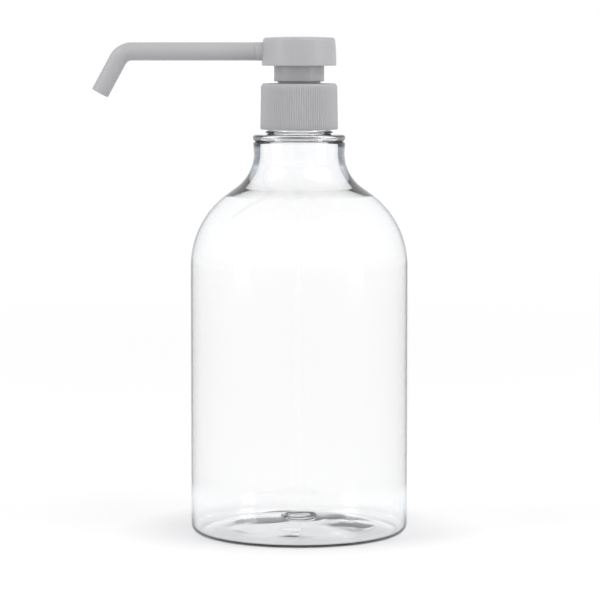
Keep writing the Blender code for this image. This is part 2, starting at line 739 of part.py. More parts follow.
def make_spout():
    """Bent tube with a reduced spigot in the boss and a square-cut tip."""
    root = -BOSS_REACH + SPIGOT_LENGTH - SEAT_GAP
    ahead = Vector((-1.0, 0.0, 0.0))
    path = [(Vector((-SPOUT_STRAIGHT_END, 0.0, spout_height)), ahead)]
    bend_steps = 6
    for step in range(1, bend_steps + 1):
        angle = SPOUT_BEND_ANGLE * step / bend_steps
        centre = Vector((-SPOUT_STRAIGHT_END - SPOUT_BEND_RADIUS * math.sin(angle), 0.0,
                         spout_height - SPOUT_BEND_RADIUS * (1.0 - math.cos(angle))))
        path.append((centre, Vector((-math.cos(angle), 0.0, -math.sin(angle)))))
    start = Vector((root, 0.0, spout_height))
    shoulder_start = Vector((-BOSS_REACH - SEAT_GAP, 0.0, spout_height))
    tip_edge_start = tip_end - bend_turn * SPOUT_TIP_EDGE
    rings = [(start, ahead, spigot_radius), (shoulder_start, ahead, spigot_radius),
             (shoulder_start, ahead, SPOUT_RADIUS)]
    rings += [(centre, direction, SPOUT_RADIUS) for centre, direction in path]
    rings += [(tip_edge_start, bend_turn, SPOUT_RADIUS),
              (tip_end, bend_turn, SPOUT_RADIUS - SPOUT_TIP_EDGE),
              (tip_end, bend_turn, SPOUT_BORE_RADIUS)]
    rings += [(centre, direction, SPOUT_BORE_RADIUS) for centre, direction in reversed(path)]
    rings += [(start, ahead, SPOUT_BORE_RADIUS)]
    return piece("spout", lofted(rings, 20), grey_plastic("grey_spout_plastic"))


def lofted(rings, segments):
    """A closed skin through rings given as (centre, direction, radius), last to first."""
    shape = bmesh.new()
    sideways = Vector((0.0, 1.0, 0.0))
    loops = []
    for centre, direction, radius in rings:
        upright = sideways.cross(direction)
        loop = []
        for step in range(segments):
            angle = math.tau * step / segments
            offset = upright * math.cos(angle) + sideways * math.sin(angle)
            loop.append(shape.verts.new(centre + offset * radius))
        loops.append(loop)
    for low, high in zip(loops, loops[1:] + loops[:1]):
        for step in range(segments):
            following = (step + 1) % segments
            shape.faces.new((low[step], low[following], high[following], high[step]))
    return shape


pump_axis = start_empty()
make_bottle()
make_closure()
make_gasket()
make_housing()
make_ball("suction_ball", SUCTION_BALL_RADIUS, suction_ball_height)
make_dip_tube()
make_collar()
make_spring()
make_piston_rod()
make_piston()
make_stem()
make_ball("outlet_ball", OUTLET_BALL_RADIUS, outlet_ball_height)
make_head()
make_spout()
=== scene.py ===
import math

import bpy
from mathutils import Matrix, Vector, noise


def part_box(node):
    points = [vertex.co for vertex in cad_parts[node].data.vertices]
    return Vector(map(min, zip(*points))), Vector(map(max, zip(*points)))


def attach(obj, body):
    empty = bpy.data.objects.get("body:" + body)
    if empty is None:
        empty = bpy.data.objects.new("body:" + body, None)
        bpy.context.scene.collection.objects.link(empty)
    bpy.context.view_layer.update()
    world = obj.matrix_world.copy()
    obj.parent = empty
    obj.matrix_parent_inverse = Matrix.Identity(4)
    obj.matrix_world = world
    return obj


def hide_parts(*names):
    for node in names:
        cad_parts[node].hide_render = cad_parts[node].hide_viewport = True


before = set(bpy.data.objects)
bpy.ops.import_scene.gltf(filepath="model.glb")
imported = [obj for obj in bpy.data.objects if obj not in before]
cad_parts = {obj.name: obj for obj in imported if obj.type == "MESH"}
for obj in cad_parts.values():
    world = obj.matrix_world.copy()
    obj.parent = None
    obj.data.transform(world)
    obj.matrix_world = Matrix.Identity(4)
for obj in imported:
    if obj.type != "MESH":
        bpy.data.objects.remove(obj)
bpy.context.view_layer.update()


# Camera
# It stands level with the pump head, a metre in front, with a long lens,
# and is tilted down to the middle of the bottle.

closure_low, closure_high = (Vector(corner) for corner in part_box("closure"))
axis_x = (closure_low.x + closure_high.x) / 2
camera_distance = 1.0385
camera_height = 0.1760
aim_height = 0.08284
aim_offset = 0.0003
lens_mm = 176.2

camera_place = Vector((axis_x + aim_offset, -camera_distance, camera_height))
bpy.ops.object.camera_add(location=camera_place)
camera = bpy.context.object
camera.name = "camera"
camera.data.lens = lens_mm
camera.data.clip_start = 0.05
camera.data.clip_end = 30.0
sight = Vector((axis_x + aim_offset, 0.0, aim_height)) - camera_place
camera.rotation_euler = sight.to_track_quat('-Z', 'Y').to_euler()
bpy.context.scene.camera = camera
bpy.context.scene.view_settings.view_transform = 'Standard'


# Studio
# A white room with a pale floor that keeps a soft shadow, with a painted contact shadow round
# the base, lit by two soft boxes above and an upright panel at each side. Only light that a
# clear wall turns back once inside itself sees a dark room and floor: a painted dark
# reflection, which gives the bottle its dark edges.

class Wire:
    """A shader socket; arithmetic on it adds the Math nodes that do the sum."""

    def __init__(self, tree, socket):
        self.tree = tree
        self.socket = socket

    def out(self, name):
        return Wire(self.tree, self.socket.node.outputs[name])

    def math(self, operation, first, second):
        return self.tree.node("ShaderNodeMath", {"operation": operation}, {0: first, 1: second})

    def __add__(self, other):
        return self.math('ADD', self, other)

    def __sub__(self, other):
        return self.math('SUBTRACT', self, other)

    def __rsub__(self, other):
        return self.math('SUBTRACT', other, self)

    def __mul__(self, other):
        return self.math('MULTIPLY', self, other)

    def least(self, other):
        return self.math('MINIMUM', self, other)

    def most(self, other):
        return self.math('MAXIMUM', self, other)

    def clamp(self):
        return self.most(0.0).least(1.0)

    def size(self):
        return self.math('ABSOLUTE', self, 0.0)

    __radd__ = __add__
    __rmul__ = __mul__


class Tree:
    """The nodes of a material or of the world."""

    def __init__(self, owner):
        owner.use_nodes = True
        self.tree = owner.node_tree
        self.tree.nodes.clear()

    def node(self, kind, settings=None, sockets=None, output=0):
        node = self.tree.nodes.new(kind)
        for name, value in (settings or {}).items():
            setattr(node, name, value)
        for name, value in (sockets or {}).items():
            if isinstance(value, Wire):
                self.tree.links.new(value.socket, node.inputs[name])
            else:
                node.inputs[name].default_value = value
        return Wire(self, node.outputs[output]) if node.outputs else None

    def mix(self, factor, first, second):
        return self.node("ShaderNodeMix", {"data_type": 'RGBA'},
                         {"Factor": factor, 6: first, 7: second}, output=2)


white = (1.0, 1.0, 1.0, 1.0)
# Painted dark reflection: the next three colours are shown only to light that a clear wall has turned back
# inside itself, and they paint the bottle's dark edges.
painted_edge_dark_near = (0.0, 0.0, 0.004, 1.0)
painted_edge_dark_far = (0.22, 0.24, 0.28, 1.0)
painted_edge_pale_colour = (0.62, 0.66, 0.72, 1.0)
most_crossings = 2.5


def background_seen(ray):
    """1 for direct, mirrored and see-through light, which shows the white background."""
    direct_or_through = ray.out("Is Camera Ray") + ray.out("Is Transmission Ray")
    return (direct_or_through + ray.out("Is Glossy Ray")).least(1.0)


def turned_back(ray):
    """1 for light that a clear wall has turned back once inside itself, else 0."""
    turned = (ray.out("Glossy Depth") * ray.out("Transmission Depth")).least(1.0)
    return turned * ray.math('LESS_THAN', ray.out("Transmission Depth"), most_crossings)


room = bpy.data.worlds.new("white_room")
bpy.context.scene.world = room
sky = Tree(room)
sky_ray = sky.node("ShaderNodeLightPath")
sky_place = sky.node("ShaderNodeTexCoord", output="Generated")
upward = sky.node("ShaderNodeSeparateXYZ", sockets={0: sky_place}, output=2)
side_light = (0.72, 0.72, 0.725, 1.0)
ceiling_light = (0.48, 0.48, 0.485, 1.0)
# Painted dark reflection in the room: darker below and paler above, seen only by light turned back inside a
# clear wall.
painted_room_pale_start = 0.1
painted_room_pale_rise = 3.5
room_light = sky.mix(upward.most(0.0), side_light, ceiling_light)
open_room = sky.mix(background_seen(sky_ray), room_light, white)
painted_edge_room = sky.mix((upward * painted_room_pale_rise - painted_room_pale_start).clamp(), painted_edge_dark_far, painted_edge_pale_colour)
room_colour = sky.mix(turned_back(sky_ray), open_room, painted_edge_room)
light = sky.node("ShaderNodeBackground", sockets={"Color": room_colour, "Strength": 1.0})
sky.node("ShaderNodeOutputWorld", sockets={"Surface": light})

floor_size = 400.0
bpy.ops.mesh.primitive_plane_add(size=floor_size, location=(axis_x, 0.0, 0.0))
floor = bpy.context.object
floor.name = "floor"
floor_paint = bpy.data.materials.new("floor_paint")
floor_tree = Tree(floor_paint)
floor_ray = floor_tree.node("ShaderNodeLightPath")
floor_place = floor_tree.node("ShaderNodeTexCoord", output="Object")
floor_reach = floor_tree.node("ShaderNodeVectorMath", {"operation": 'LENGTH'}, {0: floor_place}, output=1)

# Its white grows with the distance from the bottle, so that a shadow stays close to the
# base and no horizon shows. Close round the base the white is lowered further: a painted
# contact shadow, which also lets the real shadow show more.
matt_colour = (0.86, 0.86, 0.86, 1.0)
white_strength = 1.22
white_at_bottle = 0.38
white_growth = 0.36
growth_per_metre = 0.7
painted_shadow_reach = 0.066
painted_shadow_slope = 40.0
painted_shadow_depth = 0.34
growth = (floor_reach * growth_per_metre).least(1.0) * white_growth
# Painted contact shadow: less of the floor's own white near the base, so the floor is darker there.
painted_contact_shadow = ((painted_shadow_reach - floor_reach) * painted_shadow_slope).clamp() * painted_shadow_depth
floor_share = background_seen(floor_ray) * (growth + white_at_bottle - painted_contact_shadow)

# A painted dark reflection on it, seen only by light turned back inside a clear wall: a hazy
# ring near the bottle, then dark, then paler far out.
painted_edge_ring_reach = 0.10
painted_edge_ring_half_width = 0.06
painted_edge_ring_slope = 30.0
painted_edge_far_start = 1.5
painted_edge_ring_mask = ((painted_edge_ring_half_width - (floor_reach - painted_edge_ring_reach).size()) * painted_edge_ring_slope).clamp()
painted_edge_far_mask = (floor_reach - painted_edge_far_start).clamp()
painted_edge_floor = floor_tree.mix(painted_edge_ring_mask, floor_tree.mix(painted_edge_far_mask, painted_edge_dark_near, painted_edge_dark_far), painted_edge_pale_colour)
floor_turned_back = turned_back(floor_ray)
floor_colour = floor_tree.mix(floor_turned_back, white, painted_edge_floor)
floor_matt = floor_tree.node("ShaderNodeBsdfDiffuse", sockets={"Color": matt_colour})
floor_white = floor_tree.node("ShaderNodeEmission",
                              sockets={"Color": floor_colour, "Strength": white_strength})
floor_mixed = floor_tree.node("ShaderNodeMixShader", sockets={
    0: floor_share.most(floor_turned_back),
    1: floor_matt,
    2: floor_white,
})
floor_tree.node("ShaderNodeOutputMaterial", sockets={"Surface": floor_mixed})
floor.data.materials.append(floor_paint)

light_target = Vector((axis_x, 0.0, 0.12))


def soft_box(name, direction, distance, width, depth, power):
    """A rectangular lamp that faces the bottle."""
    place = light_target + Vector(direction).normalized() * distance
    bpy.ops.object.light_add(type='AREA', location=place)
    lamp = bpy.context.object
    lamp.name = name
    lamp.data.shape = 'RECTANGLE'
    lamp.data.size = width
    lamp.data.size_y = depth
    lamp.data.energy = power
    lamp.rotation_euler = (light_target - place).to_track_quat('-Z', 'Y').to_euler()


soft_box("left_soft_box", (-0.68, -0.25, 0.69), distance=1.2, width=0.60, depth=0.60, power=4.5)
soft_box("left_panel", (-0.95, -0.50, 0.02), distance=1.3, width=0.35, depth=0.80, power=3.6)
soft_box("right_panel", (0.95, -0.50, 0.02), distance=1.3, width=0.35, depth=0.80, power=4.1)
soft_box("right_soft_box", (0.56, -0.35, 0.75), distance=1.2, width=1.15, depth=0.65, power=6.5)


# Bottle
# One blown piece of clear plastic: thin round wall and dome, a heavy neck left thick
# from the moulding, a rolled support ring, and the threaded finish under the closure.

def arc(centre, radius, start, end, steps):
    """Points along an arc in the (radius, height) plane, both ends included."""
    points = []
    for step in range(steps + 1):
        angle = start + (end - start) * step / steps
        points.append((centre[0] + radius * math.cos(angle), centre[1] + radius * math.sin(angle)))
    return points


def turn(name, outline, corners):
    """Draws a ring on from point to point of an outline, round the pump's axis.

    The outline closes on itself, or starts and ends close to the axis, where the ring
    is drawn together to a pole.
    """
    bpy.ops.object.select_all(action='DESELECT')
    radius, height = outline[0]
    bpy.ops.mesh.primitive_circle_add(vertices=corners, radius=radius, location=(axis_x, 0.0, height))
    made = bpy.context.object
    made.name = name
    bpy.ops.object.mode_set(mode='EDIT')
    for next_radius, next_height in outline[1:]:
        grow = next_radius / radius
        bpy.ops.mesh.extrude_region_move(
            TRANSFORM_OT_translate={"value": (0.0, 0.0, next_height - height)})
        bpy.ops.transform.resize(value=(grow, grow, 1.0), center_override=(axis_x, 0.0, next_height))
        radius, height = next_radius, next_height
    if outline[0] == outline[-1]:
        bpy.ops.mesh.select_all(action='SELECT')
        bpy.ops.mesh.remove_doubles(threshold=0.000002)
    else:
        bpy.ops.mesh.merge(type='CENTER')
        bpy.ops.mesh.select_all(action='DESELECT')
        bpy.ops.mesh.select_non_manifold()
        bpy.ops.mesh.merge(type='CENTER')
    bpy.ops.mesh.select_all(action='SELECT')
    bpy.ops.mesh.normals_make_consistent(inside=False)
    bpy.ops.object.mode_set(mode='OBJECT')
    bpy.ops.object.shade_smooth_by_angle(angle=math.radians(30))
    bpy.ops.object.transform_apply(location=True, rotation=True, scale=True)
    return made


bottle_low, bottle_high = (Vector(corner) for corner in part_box("bottle"))
body_radius = (bottle_high.x - bottle_low.x) / 2
lip_height = bottle_high.z
body_wall = 0.0006
body_top = 0.0952
heel_radius = 0.0032
heel_wall = 0.0009
heel_taper_top = 0.0155
land_width = 0.0008
push_up = 0.0045
base_thickness = 0.0016
gate_radius = 0.0062
gate_depth = 0.0004
dome_radius = 0.0312
flare_radius = 0.0149
cone_length = 0.0044
neck_radius = 0.01605
neck_top_radius = 0.0163
neck_length = 0.0038
bore_radius = 0.0093
ring_radius = 0.0164
ring_thickness = 0.0023
ring_round = 0.001
groove = 0.0004
finish_radius = 0.01115
finish_fillet = 0.0006
bead_radius = 0.01205
bead_round = 0.00025
bead_middle = 0.00085
finish_start = 0.0013
lip_round = 0.0004
pole = 0.0002

drop = body_radius - neck_radius
arcs = dome_radius + flare_radius
slope = math.acos((arcs - drop) / math.hypot(arcs, cone_length)) - math.atan2(cone_length, arcs)
neck_low = body_top + arcs * math.sin(slope) + cone_length * math.cos(slope)
neck_top = neck_low + neck_length
ring_low = neck_top + groove
ring_top = ring_low + ring_thickness
heel_centre = (body_radius - heel_radius, heel_radius)
land_inner = body_radius - heel_radius - land_width
full = math.pi
half = math.pi / 2


def push_up_height(radius, rise, centre_height):
    """Height of the pushed-up base at a radius."""
    return centre_height * (1.0 - (radius / land_inner) ** 2) + rise


base_steps = 16
outside = [(pole, push_up + gate_depth), (gate_radius - gate_depth, push_up + gate_depth)]
for step in range(base_steps + 1):
    radius = gate_radius + (land_inner - gate_radius) * step / base_steps
    outside.append((radius, push_up_height(radius, 0.0, push_up)))
outside += arc(heel_centre, heel_radius, -half, 0.0, 12)
shoulder = []
for step in range(33):
    angle = slope * step / 32
    shoulder.append((body_radius - dome_radius + dome_radius * math.cos(angle),
                     body_top + dome_radius * math.sin(angle), angle))
for step in range(25):
    angle = slope * (1.0 - step / 24)
    shoulder.append((neck_radius + flare_radius - flare_radius * math.cos(angle),
                     neck_low - flare_radius * math.sin(angle), angle))
outside += [(radius, height) for radius, height, lean in shoulder]
outside += [(neck_top_radius, neck_top - groove)]
outside += arc((neck_top_radius - groove, neck_top - groove), groove, 0.0, half * 0.7, 3)[1:]
outside += arc((ring_radius - ring_round, ring_low + ring_round), ring_round, -half, 0.0, 6)
outside += arc((ring_radius - ring_round, ring_top - ring_round), ring_round, 0.0, half, 6)
outside += arc((finish_radius + finish_fillet, ring_top + finish_fillet), finish_fillet, -half, -full, 4)
outside += arc((bead_radius - bead_round, ring_top + bead_middle), bead_round, -half, half, 4)
thread_rows = 60
finish_low = ring_top + finish_start
finish_high = lip_height - 2 * lip_round
for row in range(thread_rows + 1):
    outside.append((finish_radius, finish_low + (finish_high - finish_low) * row / thread_rows))
outside += arc((finish_radius - lip_round, lip_height - lip_round), lip_round, 0.0, half, 4)

neck_wall = 0.00225
taper_low = neck_low - 0.0145
taper_high = taper_low + 0.0104


def shoulder_wall(height):
    """Thickness of the wall across the shoulder: heavy above, blown thin below."""
    share = max(0.0, min(1.0, (height - taper_low) / (taper_high - taper_low)))
    return body_wall + (neck_wall - body_wall) * share ** 0.7


inside = arc((bore_radius + lip_round, lip_height - lip_round), lip_round, half, full, 4)
wide_bore = neck_radius - neck_wall
ledge_top = ring_top - 0.0003
ledge_fall = 0.0008
ledge_bend = 1.4
ledge_steps = 10
inside += [(bore_radius, lip_height - 0.006), (bore_radius, ledge_top)]
for step in range(1, ledge_steps + 1):
    share = step / ledge_steps
    eased = share * share * (3.0 - 2.0 * share)
    inside.append((bore_radius + (wide_bore - bore_radius) * eased,
                   ledge_top - ledge_fall * share ** ledge_bend))
for below in (0.0002, 0.0006):
    inside.append((wide_bore, ledge_top - ledge_fall - below))
for radius, height, lean in reversed(shoulder):
    wall = shoulder_wall(height)
    inside.append((radius - wall * math.cos(lean), height - wall * math.sin(lean)))
inside += [(body_radius - body_wall, heel_taper_top)]
inside += arc(heel_centre, heel_radius - heel_wall, 0.0, -half, 12)
gate_rim = 0.00045
gate_crown = 0.00015
rim_outer = gate_radius + 2 * gate_rim
for step in range(base_steps, -1, -1):
    radius = rim_outer + (land_inner - rim_outer) * step / base_steps
    inside.append((radius, push_up_height(radius, heel_wall, push_up + base_thickness - heel_wall)))
gate_floor = inside[-1][1]
inside += arc((gate_radius, gate_floor), gate_rim, 0.0, full, 6)
inside += [(gate_radius * 0.6, gate_floor + gate_crown * 2 / 3), (pole, gate_floor + gate_crown)]
bottle = turn("bottle_shell", outside + inside, 192)

thread_pitch = 0.003175
thread_start = ring_top + 0.003685
thread_turns = 1.5
thread_width = 0.0021
thread_proud = 0.0009
thread_flank = 1.8
fade_a_turn = 12
close = 0.00002
for point in bottle.data.vertices:
    radius = math.hypot(point.co.x - axis_x, point.co.y)
    if abs(radius - finish_radius) > close or point.co.z < finish_low:
        continue
    angle = math.atan2(point.co.y, point.co.x - axis_x) % math.tau
    for turn_number in range(3):
        along = angle / math.tau + turn_number
        if along > thread_turns:
            continue
        away = abs(point.co.z - thread_start - thread_pitch * along) / (thread_width / 2)
        ends = min(1.0, along * fade_a_turn, (thread_turns - along) * fade_a_turn)
        proud = thread_proud * ends * max(0.0, min(1.0, (1.0 - away) * thread_flank))
        if proud > 0.0:
            grow = (radius + proud) / radius
            point.co.x = axis_x + (point.co.x - axis_x) * grow
            point.co.y *= grow

# The inner face of the base is slightly uneven, as blown plastic is.
wave_height = 0.0010
wave_pitch = 0.016
wave_start = 0.0070
wave_full = 0.0100
wave_end = 0.0270
for point in bottle.data.vertices:
    radius = math.hypot(point.co.x - axis_x, point.co.y)
    if not wave_start <= radius <= wave_end:
        continue
    if not push_up_height(radius, heel_wall / 2, push_up) < point.co.z < heel_taper_top:
        continue
    grow = (radius - wave_start) / (wave_full - wave_start)
    fade = (wave_end - radius) / (wave_end - wave_full)
    point.co.z += wave_height * min(1.0, 1.5 * grow, 1.5 * fade) * noise.noise(point.co / wave_pitch)
bottle.data.update()

clear = bpy.data.materials.new("clear_plastic")
glass = Tree(clear)
clear_place = glass.node("ShaderNodeTexCoord", output="Object")
base_reach = glass.node("ShaderNodeVectorMath", {"operation": 'DISTANCE'},
                        {0: clear_place, 1: (axis_x, 0.0, 0.0)}, output=1)
base_flow = glass.node("ShaderNodeTexNoise",
                       sockets={"Vector": clear_place, "Scale": 60.0, "Detail": 1.0})
base_only = (1.5 - base_reach * 55.0).clamp()
clear_bump = glass.node("ShaderNodeBump", sockets={
    "Strength": 1.0,
    "Distance": 0.004,
    "Height": (base_flow - 0.5) * base_only,
})
clear_body = glass.node("ShaderNodeBsdfPrincipled", sockets={
    "Base Color": (1.0, 1.0, 1.0, 1.0),
    "Roughness": 0.0,
    "IOR": 1.5,
    "Transmission Weight": 1.0,
    "Normal": clear_bump,
})
clear_shadow = glass.node("ShaderNodeBsdfTransparent", sockets={"Color": (0.74, 0.74, 0.75, 1.0)})
clear_ray = glass.node("ShaderNodeLightPath")
clear_mix = glass.node("ShaderNodeMixShader",
                       sockets={0: clear_ray.out("Is Shadow Ray"), 1: clear_body, 2: clear_shadow})
clear_depth = glass.node("ShaderNodeVolumeAbsorption",
                         sockets={"Color": (0.78, 0.81, 0.86, 1.0), "Density": 30.0})
glass.node("ShaderNodeOutputMaterial", sockets={"Surface": clear_mix, "Volume": clear_depth})
bottle.data.materials.append(clear)
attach(bottle, "bottle")
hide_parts("bottle")


# Closure
# A grey moulded screw cap with a hundred or so fine upright grip ribs, a plain rim at
# top and bottom, and a hole in its top for the pump collar.

rib_count = 104
rib_height = 0.00026
closure_mouth_radius = (closure_high.x - closure_low.x) / 2 - rib_height
closure_top_radius = closure_mouth_radius - 0.00026
closure_bore = 0.0124
closure_hole = 0.00785
closure_panel = 0.00133
top_edge = 0.0007
mouth_edge = 0.00012
hole_edge = 0.0002
mouth_lead = 0.0003
corners_a_rib = 6
skirt_low = closure_low.z + mouth_edge
skirt_high = closure_high.z - top_edge
rib_end = 0.00022
step_apart = 0.00002

closure_outline = [(closure_bore, closure_low.z + 0.0004), (closure_bore + mouth_lead, closure_low.z)]
closure_outline += arc((closure_mouth_radius - mouth_edge, skirt_low), mouth_edge, -half, 0.0, 4)
skirt_steps = 14
for step in range(skirt_steps + 1):
    if step in (0, skirt_steps):
        share = step / skirt_steps
    else:
        share = rib_end + (skirt_high - skirt_low - 2 * rib_end) * (step - 1) / (skirt_steps - 2)
        share /= skirt_high - skirt_low
    closure_outline.append((closure_mouth_radius + (closure_top_radius - closure_mouth_radius) * share,
                            skirt_low + (skirt_high - skirt_low) * share + step_apart))
closure_outline += arc((closure_top_radius - top_edge, skirt_high + 2 * step_apart),
                       top_edge - 2 * step_apart, 0.0, half, 6)
closure_outline += arc((closure_hole + hole_edge, closure_high.z - hole_edge), hole_edge, half, full, 3)
closure_outline += [(closure_hole, closure_high.z - closure_panel)]
closure_outline += [(closure_bore, closure_high.z - closure_panel)]
closure_outline += [closure_outline[0]]
closure = turn("closure_shell", closure_outline, rib_count * corners_a_rib)

bpy.ops.object.select_all(action='DESELECT')
closure.select_set(True)
bpy.context.view_layer.objects.active = closure
rib_shape = {1: 0.55, 2: 1.0, 3: 1.0, 4: 0.55}
for place, share in rib_shape.items():
    bpy.ops.object.mode_set(mode='EDIT')
    bpy.ops.mesh.select_all(action='DESELECT')
    bpy.ops.object.mode_set(mode='OBJECT')
    for point in closure.data.vertices:
        radius = math.hypot(point.co.x - axis_x, point.co.y)
        angle = math.atan2(point.co.y, point.co.x - axis_x) / math.tau * rib_count * corners_a_rib
        on_skirt = skirt_low + rib_end / 2 < point.co.z < skirt_high - rib_end / 2
        point.select = on_skirt and radius > closure_bore + 0.0004 and round(angle) % corners_a_rib == place
    bpy.ops.object.mode_set(mode='EDIT')
    grow = 1.0 + rib_height * share / closure_mouth_radius
    bpy.ops.transform.resize(value=(grow, grow, 1.0), center_override=(axis_x, 0.0, 0.0))
    bpy.ops.object.mode_set(mode='OBJECT')


def satin_plastic(name, colour, roughness, grain):
    """Moulded plastic: even colour, a fine spark-eroded grain and slightly uneven gloss."""
    material = bpy.data.materials.new(name)
    tree = Tree(material)
    place = tree.node("ShaderNodeTexCoord", output="Object")
    cloud = tree.node("ShaderNodeTexNoise", sockets={"Vector": place, "Scale": 260.0, "Detail": 2.0})
    fine = tree.node("ShaderNodeTexNoise", sockets={"Vector": place, "Scale": 5200.0, "Detail": 2.0})
    gloss = cloud * 0.10 + (roughness - 0.05)
    shade = tree.mix(cloud, tuple(part * 0.985 for part in colour) + (1.0,),
                     tuple(part * 1.015 for part in colour) + (1.0,))
    bump = tree.node("ShaderNodeBump", sockets={"Strength": grain, "Distance": 0.00004, "Height": fine})
    shader = tree.node("ShaderNodeBsdfPrincipled", sockets={
        "Base Color": shade,
        "Roughness": gloss,
        "IOR": 1.49,
        "Normal": bump,
    })
    tree.node("ShaderNodeOutputMaterial", sockets={"Surface": shader})
    return material


grey = (0.395, 0.395, 0.407)
grey_plastic = satin_plastic("grey_satin_plastic", grey, 0.42, 0.25)
closure.data.materials.append(grey_plastic)
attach(closure, "closure")
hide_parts("closure")


# Collar
# A grey ring snapped on the pump barrel: a narrow neck through the closure's hole, then
# the wider ring that the head locks down on.

collar_low, collar_high = (Vector(corner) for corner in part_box("collar"))
collar_radius = (collar_high.x - collar_low.x) / 2
collar_neck = 0.00755
collar_bore = 0.0069
collar_recess = 0.0057
stem_hole = 0.0036
collar_step = closure_high.z + 0.00074
web_low = collar_high.z - 0.0035
web_high = collar_high.z - 0.0023
edge = 0.0003
collar_outline = [(collar_bore, collar_low.z), (collar_neck - 0.0001, collar_low.z),
                  (collar_neck, collar_low.z + 0.0001), (collar_neck, collar_step)]
collar_outline += arc((collar_radius - edge, collar_step + edge), edge, -half, 0.0, 5)
collar_outline += arc((collar_radius - edge, collar_high.z - edge), edge, 0.0, half, 5)
collar_outline += arc((collar_recess + edge, collar_high.z - edge), edge, half, full, 5)
collar_outline += [(collar_recess, web_high), (stem_hole, web_high), (stem_hole, web_low),
                   (collar_bore, web_low), collar_outline[0]]
collar = turn("collar_ring", collar_outline, 128)
collar.data.materials.append(grey_plastic)
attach(collar, "pump_frame")
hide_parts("collar")


# Head
# The grey button that is pressed: a hollow shell with bowed sides and a low crown, a
# hub inside that grips the stem, stiffening ribs, and a boss that holds the spout.

head_high = Vector(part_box("head")[1])
head_base = collar_high.z - 0.0012
head_radius = head_high.x - axis_x
head_taper = 0.00053
head_crown = 0.00031
head_edge = 0.0011
rim_edge = 0.0002
side_bow = head_taper * 0.8
head_wall = 0.0013
head_ceiling = head_high.z - head_crown - 0.0015
spout_height = head_base + 0.00497
hub_radius = 0.0054
hub_low = collar_high.z - 0.0019
stem_radius = 0.0036
stem_top = head_base + 0.0029
channel_radius = 0.00175
channel_top = spout_height + channel_radius
stop_radius = 0.0007
stop_low = stem_top - 0.0006
boss_radius = 0.00326
boss_reach = 0.01562
boss_bore = 0.00285
boss_depth = 0.009
boss_bevel = 0.00008

head_outline = [(pole, stop_low), (stop_radius, stop_low), (stop_radius, channel_top),
                (channel_radius, channel_top), (channel_radius, stem_top), (stem_radius, stem_top),
                (stem_radius, hub_low), (hub_radius, hub_low), (hub_radius, head_ceiling),
                (head_radius - head_wall - head_taper - 0.0004, head_ceiling),
                (head_radius - head_wall - head_taper, head_ceiling - 0.0004),
                (head_radius - head_wall, head_base)]
head_outline += arc((head_radius - rim_edge, head_base + rim_edge), rim_edge, -half, 0.0, 3)
side_steps = 12
side_top = head_high.z - head_crown - head_edge
for step in range(1, side_steps + 1):
    share = step / side_steps
    head_outline.append((head_radius - side_bow * share ** 2,
                         head_base + rim_edge + (side_top - head_base - rim_edge) * share))
head_outline += arc((head_radius - side_bow - head_edge, side_top), head_edge, 0.06, half * 0.98, 10)[1:]
crown_radius = head_outline[-1][0]
crown_height = head_outline[-1][1]
crown_steps = 10
for step in range(1, crown_steps):
    share = step / crown_steps
    head_outline.append((crown_radius * (1.0 - share),
                         crown_height + (head_high.z - crown_height) * (1.0 - (1.0 - share) ** 2)))
head_outline.append((pole, head_high.z))
head = turn("head_shell", head_outline, 128)


def add_cylinder(name, start, end, radius, corners):
    """A closed cylinder between two points."""
    bpy.ops.object.select_all(action='DESELECT')
    start, end = Vector(start), Vector(end)
    bpy.ops.mesh.primitive_cylinder_add(vertices=corners, radius=radius, depth=(end - start).length,
                                        location=(start + end) / 2)
    made = bpy.context.object
    made.name = name
    made.rotation_euler = (end - start).to_track_quat('Z', 'Y').to_euler()
    bpy.ops.object.transform_apply(location=True, rotation=True, scale=True)
    return made


def boolean(target, tool, operation):
    """Applies one Boolean and takes the tool away."""
    step = target.modifiers.new(tool.name, 'BOOLEAN')
    step.operation = operation
    step.object = tool
    bpy.ops.object.select_all(action='DESELECT')
    target.select_set(True)
    bpy.context.view_layer.objects.active = target
    bpy.ops.object.modifier_apply(modifier=step.name)
    bpy.data.objects.remove(tool, do_unlink=True)


boss = add_cylinder("boss", (axis_x - stem_radius, 0.0, spout_height),
                    (axis_x - boss_reach, 0.0, spout_height), boss_radius, 64)
bpy.ops.object.mode_set(mode='EDIT')
bpy.ops.mesh.select_all(action='DESELECT')
bpy.ops.object.mode_set(mode='OBJECT')
for edge_line in boss.data.edges:
    ends = [boss.data.vertices[index].co.x for index in edge_line.vertices]
    edge_line.select = max(ends) < axis_x - boss_reach + boss_bevel
bpy.ops.object.mode_set(mode='EDIT')
bpy.ops.mesh.bevel(offset=boss_bevel, segments=2)
bpy.ops.object.mode_set(mode='OBJECT')
boolean(head, boss, 'UNION')
inner_rib_count = 6
boss_side = 3
rib_thickness = 0.0009
rib_in = hub_radius - 0.0008
rib_out = head_radius - head_wall - head_taper + 0.0004
rib_base = spout_height - boss_radius
rib_top = head_ceiling + 0.0006
middle = (rib_in + rib_out) / 2
for number in range(inner_rib_count):
    if number == boss_side:
        continue
    turn_angle = math.tau * number / inner_rib_count
    bpy.ops.object.select_all(action='DESELECT')
    bpy.ops.mesh.primitive_cube_add(
        size=1.0,
        location=(axis_x + middle * math.cos(turn_angle), middle * math.sin(turn_angle),
                  (rib_base + rib_top) / 2),
        rotation=(0.0, 0.0, turn_angle),
        scale=(rib_out - rib_in, rib_thickness, rib_top - rib_base))
    rib = bpy.context.object
    rib.name = f"inner_rib_{number}"
    boolean(head, rib, 'UNION')
channel = add_cylinder("channel", (axis_x - stop_radius - 0.0003, 0.0, spout_height),
                       (axis_x - boss_reach, 0.0, spout_height), channel_radius, 32)
boolean(head, channel, 'DIFFERENCE')
